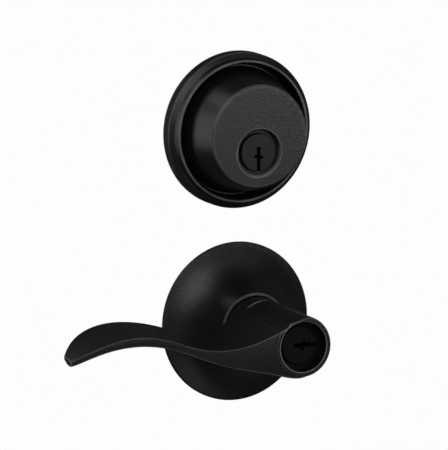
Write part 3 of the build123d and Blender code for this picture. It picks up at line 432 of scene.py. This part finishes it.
@dataclass
class MachineScrew:
    """Pan-head screw along y with a cross recess and a rolled thread, sizes in millimetres."""

    x: float
    z: float
    tip: float
    seat: float
    top: float
    shank_radius: float
    head_radius: float
    pitch: float = 1.0
    thread_depth: float = 0.32
    recess_width: float = 1.1
    recess_length: float = 5.0
    recess_depth: float = 1.1
    recess_slope: float = 0.12
    tip_share: float = 0.72
    rim_share: float = 0.35
    dome_span: tuple[float, float] = (0.995, 0.02)
    rows_per_turn: int = 6
    columns: int = 48
    head_rows: int = 26

    def shank(self, angle: np.ndarray) -> tuple[np.ndarray, np.ndarray]:
        """Radius and place of the thread.

        The radius is the crest less a triangle wave of the turns along y minus the turn around
        the axis, and it draws in over the first pitch to a tip.

        Args:
            angle: Angles around the axis.

        Returns:
            Radius and y, each as rows and columns.
        """
        length = self.seat - self.tip
        rows = int(length / self.pitch * self.rows_per_turn)
        along = np.linspace(0, length, rows)[:, None]
        turn = along / self.pitch - angle[None] / (2 * np.pi)
        wave = np.abs(2 * (turn - np.floor(turn)) - 1)
        run_out = np.clip((length - along) / self.pitch, 0, 1)
        radius = self.shank_radius - self.thread_depth * wave * run_out
        radius = radius * np.clip(self.tip_share + (1 - self.tip_share) * along / self.pitch, 0, 1)
        return radius, self.tip + along + 0 * angle[None]

    def head(self, angle: np.ndarray) -> tuple[np.ndarray, np.ndarray]:
        """Radius and place of the head.

        A flat underside runs out to a short rim, and a circular dome runs in to the axis. Two
        crossed slots sink into it, deepest at the middle.

        Args:
            angle: Angles around the axis.

        Returns:
            Radius and y, each as rows and columns.
        """
        height = self.top - self.seat
        inward = np.linspace(*self.dome_span, self.head_rows)
        radius = np.concatenate([[1.0, 1.0], inward])[:, None] * self.head_radius + 0 * angle[None]
        dome = self.rim_share + (1 - self.rim_share) * np.sqrt(1 - inward**2)
        rise = np.concatenate([[0.0, self.rim_share], dome])[:, None] * height
        across = np.abs(radius * np.cos(angle))
        upright = np.abs(radius * np.sin(angle))
        inside = self.recess_width / 2 - np.minimum(across, upright)
        narrow = np.clip(inside / self.recess_slope + 0.5, 0, 1)
        reach = np.clip(1 - radius / (self.recess_length / 2), 0, 1)
        sunk = self.recess_depth * narrow * np.sqrt(reach)
        return radius, self.seat + rise - sunk

    def mesh_parts(self) -> tuple[np.ndarray, np.ndarray, np.ndarray]:
        """Rings and poles of the whole screw in metres.

        Returns:
            Rings, pole at the tip and pole in the head.
        """
        angle = np.linspace(0, 2 * np.pi, self.columns, endpoint=False)
        shank_radius, shank_y = self.shank(angle)
        head_radius, head_y = self.head(angle)
        radius = np.concatenate([shank_radius, head_radius])
        y = np.concatenate([shank_y, head_y])
        rings = np.stack([self.x + radius * np.cos(angle), y, self.z + radius * np.sin(angle)], axis=-1)
        start = np.array([self.x, self.tip, self.z])
        end = np.array([self.x, self.top - self.recess_depth, self.z])
        return rings * MM, start * MM, end * MM


@dataclass
class CoilSpring:
    """Compression spring along x, wound from round wire, sizes in millimetres."""

    start: float
    length: float
    y: float
    z: float
    radius: float
    wire_radius: float
    turns: int
    steps_per_turn: int = 40
    columns: int = 14

    def mesh_parts(self) -> tuple[np.ndarray, np.ndarray, np.ndarray]:
        """Rings and poles of the wire in metres.

        The wire's middle goes around the axis on a circle and moves one pitch along it in each
        turn. Each ring is a circle across the wire.

        Returns:
            Rings, pole at the start and pole at the far end.
        """
        turn = np.linspace(0, 2 * np.pi * self.turns, self.turns * self.steps_per_turn + 1)
        rise = self.length / turn[-1]
        outward = np.stack([0 * turn, np.sin(turn), -np.cos(turn)], axis=-1)
        around = np.stack([0 * turn, np.cos(turn), np.sin(turn)], axis=-1)
        tangent = self.radius * around + np.array([rise, 0, 0])
        tangent = tangent / np.linalg.norm(tangent, axis=-1, keepdims=True)
        across = np.cross(outward, tangent)
        axis = np.stack([self.start + rise * turn, self.y + 0 * turn, self.z + 0 * turn], axis=-1)
        middle = axis + self.radius * outward
        angle = np.linspace(0, 2 * np.pi, self.columns, endpoint=False)[:, None]
        circle = np.cos(angle) * outward[:, None] + np.sin(angle) * across[:, None]
        rings = middle[:, None] + self.wire_radius * circle
        return rings * MM, middle[0] * MM, middle[-1] * MM


@dataclass
class SubAssembly:
    """Group of CAD nodes that are fitted together, each dressed in its own finish."""

    title: str
    nodes: tuple[str, ...]

    def dress(self, frame: dict[str, Any], materials: dict[str, bpy.types.Material]) -> None:
        """Give every node its own finish, or else the finish of its slot.

        Args:
            frame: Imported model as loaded.
            materials: Materials by the name of their finish.
        """
        slots = {row["node"]: Slot(row["material_slot"]) for row in frame["record"]["subparts"]}
        for name in self.nodes:
            finish = OWN_FINISHES.get(name, FINISHES[slots[name]])
            mesh = frame["nodes"][name].data
            mesh.materials.clear()
            mesh.materials.append(materials[finish.name])
            LOG.info("%s: %s in %s", self.title, name, finish.name)

    def add_steel_piece(
        self,
        name: str,
        parts: tuple[np.ndarray, np.ndarray, np.ndarray],
        node: str,
        body: str,
        materials: dict[str, bpy.types.Material],
    ) -> bpy.types.Object:
        """Put a piece of drawn steel where a plainer node is.

        Args:
            name: Name of the piece.
            parts: Its rings and two poles.
            node: Node that it stands for.
            body: Body that carries it.
            materials: Materials by the name of their finish.

        Returns:
            The piece.
        """
        mesh = turned_mesh(name, *parts)
        mesh.materials.append(materials[DRAWN_STEEL.name])
        piece = put_in_scene(name, mesh)
        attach(piece, body)
        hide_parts(node)
        LOG.info("%s: %s, %d faces", self.title, name, len(mesh.polygons))
        return piece

    def build(self, frame: dict[str, Any], materials: dict[str, bpy.types.Material]) -> None:
        """Add the pieces that only the picture needs; most groups have none."""


@dataclass
class BoltedTrim(SubAssembly):
    """Trim on the room side with its two threaded through bolts, sizes in millimetres."""

    screws_node: str
    body: str
    head: float = 1.8
    head_radius: float = 3.8
    shank_radius: float = 2.05

    def build(self, frame: dict[str, Any], materials: dict[str, bpy.types.Material]) -> None:
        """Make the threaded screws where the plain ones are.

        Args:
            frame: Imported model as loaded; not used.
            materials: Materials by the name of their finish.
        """
        low, high = (np.array(corner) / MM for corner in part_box(self.screws_node))
        places = {"upper": high[2] - self.head_radius, "lower": low[2] + self.head_radius}
        for which, z in places.items():
            screw = MachineScrew(
                x=0.0,
                z=z,
                tip=low[1],
                seat=high[1] - self.head,
                top=high[1],
                shank_radius=self.shank_radius,
                head_radius=self.head_radius,
            )
            name = f"{self.screws_node}_{which}"
            self.add_steel_piece(name, screw.mesh_parts(), self.screws_node, self.body, materials)


@dataclass
class SprungLatch(SubAssembly):
    """Latch with the coil behind it, sizes in millimetres."""

    spring_node: str
    body: str
    joint: str
    wire_radius: float = 0.8
    turns: int = 4

    def build(self, frame: dict[str, Any], materials: dict[str, bpy.types.Material]) -> None:
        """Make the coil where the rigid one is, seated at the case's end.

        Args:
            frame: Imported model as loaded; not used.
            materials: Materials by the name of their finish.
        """
        low, high = (np.array(corner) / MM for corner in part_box(self.spring_node))
        middle = (low + high) / 2
        length = high[0] - low[0]
        spring = CoilSpring(
            start=low[0] + self.wire_radius,
            length=length - 2 * self.wire_radius,
            y=middle[1],
            z=middle[2],
            radius=(high[1] - low[1]) / 2 - self.wire_radius,
            wire_radius=self.wire_radius,
            turns=self.turns,
        )
        name = f"{self.spring_node}_coil"
        piece = self.add_steel_piece(name, spring.mesh_parts(), self.spring_node, self.body, materials)
        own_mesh(piece)


def lock_set() -> list[SubAssembly]:
    """Sub-assemblies of the set, from the outside of the door to the room side.

    Returns:
        Every group once, so that each node is dressed.
    """
    return [
        SubAssembly(
            "deadbolt outside",
            (
                "deadbolt_trim_ring",
                "deadbolt_housing",
                "deadbolt_cylinder",
                "deadbolt_plug",
                "deadbolt_plug_cap",
                "deadbolt_key_pins",
                "deadbolt_driver_pins",
                "deadbolt_pin_springs",
                "deadbolt_pin_cover",
                "deadbolt_support_plate",
                "deadbolt_tailpiece",
            ),
        ),
        SubAssembly(
            "deadbolt bolt",
            ("bolt_faceplate", "bolt_case", "bolt", "bolt_roller", "bolt_link", "bolt_cam"),
        ),
        BoltedTrim(
            "deadbolt room side",
            (
                "deadbolt_inside_plate",
                "deadbolt_through_bolts",
                "deadbolt_inside_rose",
                "thumbturn",
                "thumbturn_clip",
            ),
            "deadbolt_through_bolts",
            "lock_frame",
        ),
        SubAssembly(
            "lever outside",
            (
                "lever_outside_rose",
                "lever_outside_plate",
                "lever_outside_spring",
                "lever_outside_handle",
                "lever_outside_grub_screw",
                "lever_cylinder",
                "lever_plug",
                "lever_key_pins",
                "lever_driver_pins",
                "lever_pin_springs",
                "lever_torque_blade",
                "lever_spindle",
            ),
        ),
        SprungLatch(
            "lever latch",
            (
                "latch_faceplate",
                "latch_case",
                "latch_bolt",
                "latch_plunger",
                "latch_link",
                "latch_cam",
                "latch_spring",
            ),
            "latch_spring",
            "lock_frame",
            "latch_draw",
        ),
        BoltedTrim(
            "lever room side",
            (
                "lever_inside_plate",
                "lever_through_bolts",
                "lever_inside_spring",
                "lever_inside_rose",
                "lever_inside_handle",
                "lever_inside_grub_screw",
                "lever_turn_button",
            ),
            "lever_through_bolts",
            "lock_frame",
        ),
    ]


@dataclass(frozen=True)
class Softbox:
    """Rectangular studio light that faces the lock, sizes in metres, white being a brightness of one."""

    name: str
    toward: tuple[float, float, float]
    distance: float
    width: float
    height: float
    brightness: float

    def place(self, target: Vector) -> None:
        """Put the light up, facing a point.

        Its power is what gives its face the brightness.

        Args:
            target: Point that the light faces.
        """
        data = bpy.data.lights.new(self.name, "AREA")
        data.shape = "RECTANGLE"
        data.size = self.width
        data.size_y = self.height
        data.energy = self.brightness * math.pi * self.width * self.height
        lamp = put_in_scene(self.name, data)
        way = Vector(self.toward).normalized()
        lamp.location = target + way * self.distance
        lamp.rotation_euler = (-way).to_track_quat("-Z", "Y").to_euler()


@dataclass
class Studio:
    """White surroundings, soft lamps and the camera, in metres where no other unit is named."""

    image_width: int = 448
    image_height: int = 450
    pixels_per_mm: float = 2.446
    ring_centre_px: tuple[float, float] = (234.2, 128.4)
    azimuth_deg: float = -26.2
    elevation_deg: float = 10.35
    camera_distance: float = 5.0
    camera_reach: float = 50.0
    sensor_mm: float = 36.0
    background: str = "#fdfdfd"
    # Grey that the door's edge glows with: a painted shade, darker than the face as if turned from the
    # light
    door_side_painted_shade: str = "#e4e4e4"
    floor_colour: str = "#f0f0f0"
    fill_light: float = 0.45
    room_light: float = 0.02
    glossy_share: float = 0.03
    door_left: float = -115 * MM
    door_edge: float = 57.8 * MM
    screen_edge: float = 66 * MM
    door_top: float = 75 * MM
    door_face: float = 0.3 * MM
    door_back: float = 44.15 * MM
    shade_depth: float = 8 * MM
    shade_left: float = -27 * MM
    shade_level: float = -22 * MM
    shade_foot: float = -150 * MM
    floor_level: float = -190 * MM
    floor_reach: float = 320 * MM
    floor_fade: tuple[float, float] = (0.4, 0.95)
    softboxes: tuple[Softbox, ...] = (
        Softbox("key_box", (-0.38, -0.78, 0.48), 1.4, 0.95, 0.95, 1.9),
        Softbox("face_strip", (0.45, -0.89, 0.07), 0.5, 0.3, 0.1, 3.6),
        Softbox("right_box", (0.42, -0.62, 0.67), 1.4, 1.24, 0.7, 0.3),
        Softbox("left_box", (-0.84, 0.49, 0.10), 1.4, 0.5, 1.3, 1.65),
        Softbox("high_left_box", (-0.40, 0.50, 0.76), 1.4, 1.0, 0.6, 1.1),
        Softbox("room_box", (0.56, 0.82, -0.02), 1.4, 1.5, 1.2, 1.5),
        Softbox("low_box", (-0.05, -0.72, -0.69), 1.4, 0.8, 0.5, 0.6),
        Softbox("front_box", (-0.36, -0.93, -0.12), 2.0, 2.0, 1.0, 0.18),
    )

    def __post_init__(self) -> None:
        """Work out the camera's axes and the point in the middle of its picture."""
        turn = math.radians(-self.azimuth_deg)
        rise = math.radians(self.elevation_deg)
        level = math.cos(rise)
        self.right = Vector((math.cos(turn), -math.sin(turn), 0))
        self.back = Vector((-math.sin(turn) * level, -math.cos(turn) * level, math.sin(rise)))
        self.up = self.back.cross(self.right)
        across = (self.image_width / 2 - self.ring_centre_px[0]) / self.pixels_per_mm
        down = (self.image_height / 2 - self.ring_centre_px[1]) / self.pixels_per_mm
        self.target = (self.right * across - self.up * down) * MM

    def camera(self) -> None:
        """Make the camera at the photograph's angle and scale."""
        data = bpy.data.cameras.new("camera")
        data.sensor_fit = "HORIZONTAL"
        data.sensor_width = self.sensor_mm
        data.lens = self.pixels_per_mm / MM * self.camera_distance * self.sensor_mm / self.image_width
        data.clip_end = self.camera_reach
        viewer = put_in_scene("camera", data)
        axes = Matrix((self.right, self.up, self.back)).transposed().to_4x4()
        viewer.matrix_world = Matrix.Translation(self.target + self.back * self.camera_distance) @ axes
        bpy.context.scene.camera = viewer

    def background_share(self, tree: bpy.types.NodeTree) -> bpy.types.NodeSocket:
        """Share of a ray that meets the white background.

        Args:
            tree: Node tree of the world or of the backdrop.

        Returns:
            One for camera and transmission rays, a small share for glossy rays, else none.
        """
        path = add_node(tree, "ShaderNodeLightPath").outputs
        mirrored = {0: path["Is Glossy Ray"], 1: self.glossy_share}
        gloss = add_node(tree, "ShaderNodeMath", {"operation": "MULTIPLY"}, mirrored)
        through = {0: path["Is Transmission Ray"], 1: gloss.outputs[0]}
        either = add_node(tree, "ShaderNodeMath", {"operation": "MAXIMUM"}, through)
        seen = {0: path["Is Camera Ray"], 1: either.outputs[0]}
        return add_node(tree, "ShaderNodeMath", {"operation": "MAXIMUM"}, seen).outputs[0]

    def world(self) -> None:
        """White to the camera, an even fill to matt surfaces, a dim room in reflections."""
        world = bpy.data.worlds.new("studio")
        bpy.context.scene.world = world
        world.use_nodes = True
        tree = world.node_tree
        matt = add_node(tree, "ShaderNodeLightPath").outputs["Is Diffuse Ray"]
        levels = {"Value": matt, "To Min": self.room_light, "To Max": self.fill_light}
        level = add_node(tree, "ShaderNodeMapRange", None, levels).outputs["Result"]
        shades = {
            "Factor": self.background_share(tree),
            MIX_FIRST: level,
            MIX_SECOND: linear(self.background),
        }
        shade = add_node(tree, "ShaderNodeMix", {"data_type": "RGBA"}, shades)
        tree.links.new(shade.outputs[MIX_RESULT], tree.nodes["Background"].inputs["Color"])

    def sheet(self, name: str, corners: Corners, material: bpy.types.Material) -> None:
        """Flat four-cornered sheet of the studio.

        Args:
            name: Name of the sheet.
            corners: Four corners, anticlockwise from the front.
            material: Material of the sheet.
        """
        mesh = bpy.data.meshes.new(name)
        mesh.from_pydata(corners, [], [(0, 1, 2, 3)])
        mesh.materials.append(material)
        put_in_scene(name, mesh)

    def panel(self, name: str, corners: Corners, colour: str) -> None:
        """One-sided sheet of the backdrop, pale in front and clear from behind.

        Args:
            name: Name of the sheet.
            corners: Four corners, anticlockwise from the front.
            colour: Shade that the camera sees.
        """
        paper = node_material(name)
        tree = paper.node_tree
        facing = add_node(tree, "ShaderNodeNewGeometry").outputs["Backfacing"]
        pale = add_node(tree, "ShaderNodeEmission", None, {"Color": linear(colour)})
        clear = add_node(tree, "ShaderNodeBsdfTransparent")
        fronts = {0: self.background_share(tree), 1: clear.outputs[0], 2: pale.outputs[0]}
        front = add_node(tree, "ShaderNodeMixShader", None, fronts)
        sides = {0: facing, 1: front.outputs[0], 2: clear.outputs[0]}
        both = add_node(tree, "ShaderNodeMixShader", None, sides)
        tree.links.new(both.outputs[0], tree.nodes["Material Output"].inputs["Surface"])
        self.sheet(name, corners, paper)

    def backdrop(self) -> None:
        """White sheet in the plane of the door's outside, and one along its edge that glows a paler grey, a
        painted shade for the door's side.
        """
        left, edge, screen = self.door_left, self.door_edge, self.screen_edge
        low, high = self.floor_level, self.door_top
        face, back = self.door_face, self.door_back
        outside = [(left, face, low), (screen, face, low), (screen, face, high), (left, face, high)]
        along_edge = [(edge, face, low), (edge, back, low), (edge, back, high), (edge, face, high)]
        self.panel("backdrop_face", outside, self.background)
        self.panel("backdrop_edge", along_edge, self.door_side_painted_shade)

    def shade(self) -> None:
        """Keep the room's light off the outside, as the door does, but for the deadbolt's left."""
        material = node_material("door_shade")
        tree = material.node_tree
        seen = add_node(tree, "ShaderNodeLightPath").outputs["Is Camera Ray"]
        dark = add_node(tree, "ShaderNodeEmission", None, {"Strength": self.room_light})
        clear = add_node(tree, "ShaderNodeBsdfTransparent")
        sides = {0: seen, 1: dark.outputs[0], 2: clear.outputs[0]}
        both = add_node(tree, "ShaderNodeMixShader", None, sides)
        tree.links.new(both.outputs[0], tree.nodes["Material Output"].inputs["Surface"])
        left, right, depth = self.door_left, self.screen_edge, self.shade_depth
        spans = {
            "door_shade_upper": (self.shade_left, self.shade_level, self.door_top),
            "door_shade_lower": (left, self.shade_foot, self.shade_level),
        }
        for name, (start, low, high) in spans.items():
            corners = [(start, depth, low), (right, depth, low), (right, depth, high), (start, depth, high)]
            self.sheet(name, corners, material)

    def floor(self) -> None:
        """Pale floor under the lock that fades to white away from it, and is clear to reflections."""
        reach, level = self.floor_reach, self.floor_level
        square = ((-1, -1), (1, -1), (1, 1), (-1, 1))
        corners = [(x * reach, y * reach, level) for x, y in square]
        material = node_material("floor_paper")
        tree = material.node_tree
        place = add_node(tree, "ShaderNodeTexCoord").outputs["Object"]
        flat = add_node(tree, "ShaderNodeVectorMath", {"operation": "MULTIPLY"}, {0: place, 1: (1, 1, 0)})
        far = add_node(tree, "ShaderNodeVectorMath", {"operation": "LENGTH"}, {0: flat.outputs[0]})
        near_end, far_end = (share * reach for share in self.floor_fade)
        steps = {"Value": far.outputs["Value"], "From Min": near_end, "From Max": far_end}
        fade = add_node(tree, "ShaderNodeMapRange", {"interpolation_type": "SMOOTHSTEP"}, steps)
        whitened = {0: fade.outputs["Result"], 1: self.background_share(tree)}
        factor = add_node(tree, "ShaderNodeMath", {"operation": "MULTIPLY"}, whitened)
        paper = add_node(tree, "ShaderNodeBsdfDiffuse", None, {"Color": linear(self.floor_colour)})
        white = add_node(tree, "ShaderNodeEmission", None, {"Color": linear(self.background)})
        ends = {0: factor.outputs[0], 1: paper.outputs[0], 2: white.outputs[0]}
        both = add_node(tree, "ShaderNodeMixShader", None, ends)
        clear = add_node(tree, "ShaderNodeBsdfTransparent")
        gloss = add_node(tree, "ShaderNodeLightPath").outputs["Is Glossy Ray"]
        layers = {0: gloss, 1: both.outputs[0], 2: clear.outputs[0]}
        ground = add_node(tree, "ShaderNodeMixShader", None, layers)
        tree.links.new(ground.outputs[0], tree.nodes["Material Output"].inputs["Surface"])
        self.sheet("floor", corners, material)

    def build(self) -> None:
        """Set up the whole studio."""
        bpy.context.scene.view_settings.view_transform = "Standard"
        self.camera()
        self.world()
        self.backdrop()
        self.shade()
        self.floor()
        for box in self.softboxes:
            box.place(self.target)


def main() -> None:
    """Dress the lock set and set up the studio."""
    logging.basicConfig(level=logging.INFO)
    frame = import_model()
    Studio().build()
    finishes = dict.fromkeys([*FINISHES.values(), *OWN_FINISHES.values()])
    materials = {finish.name: finish.material() for finish in finishes}
    for group in lock_set():
        group.dress(frame, materials)
        group.build(frame, materials)


if __name__ == "__main__":
    main()
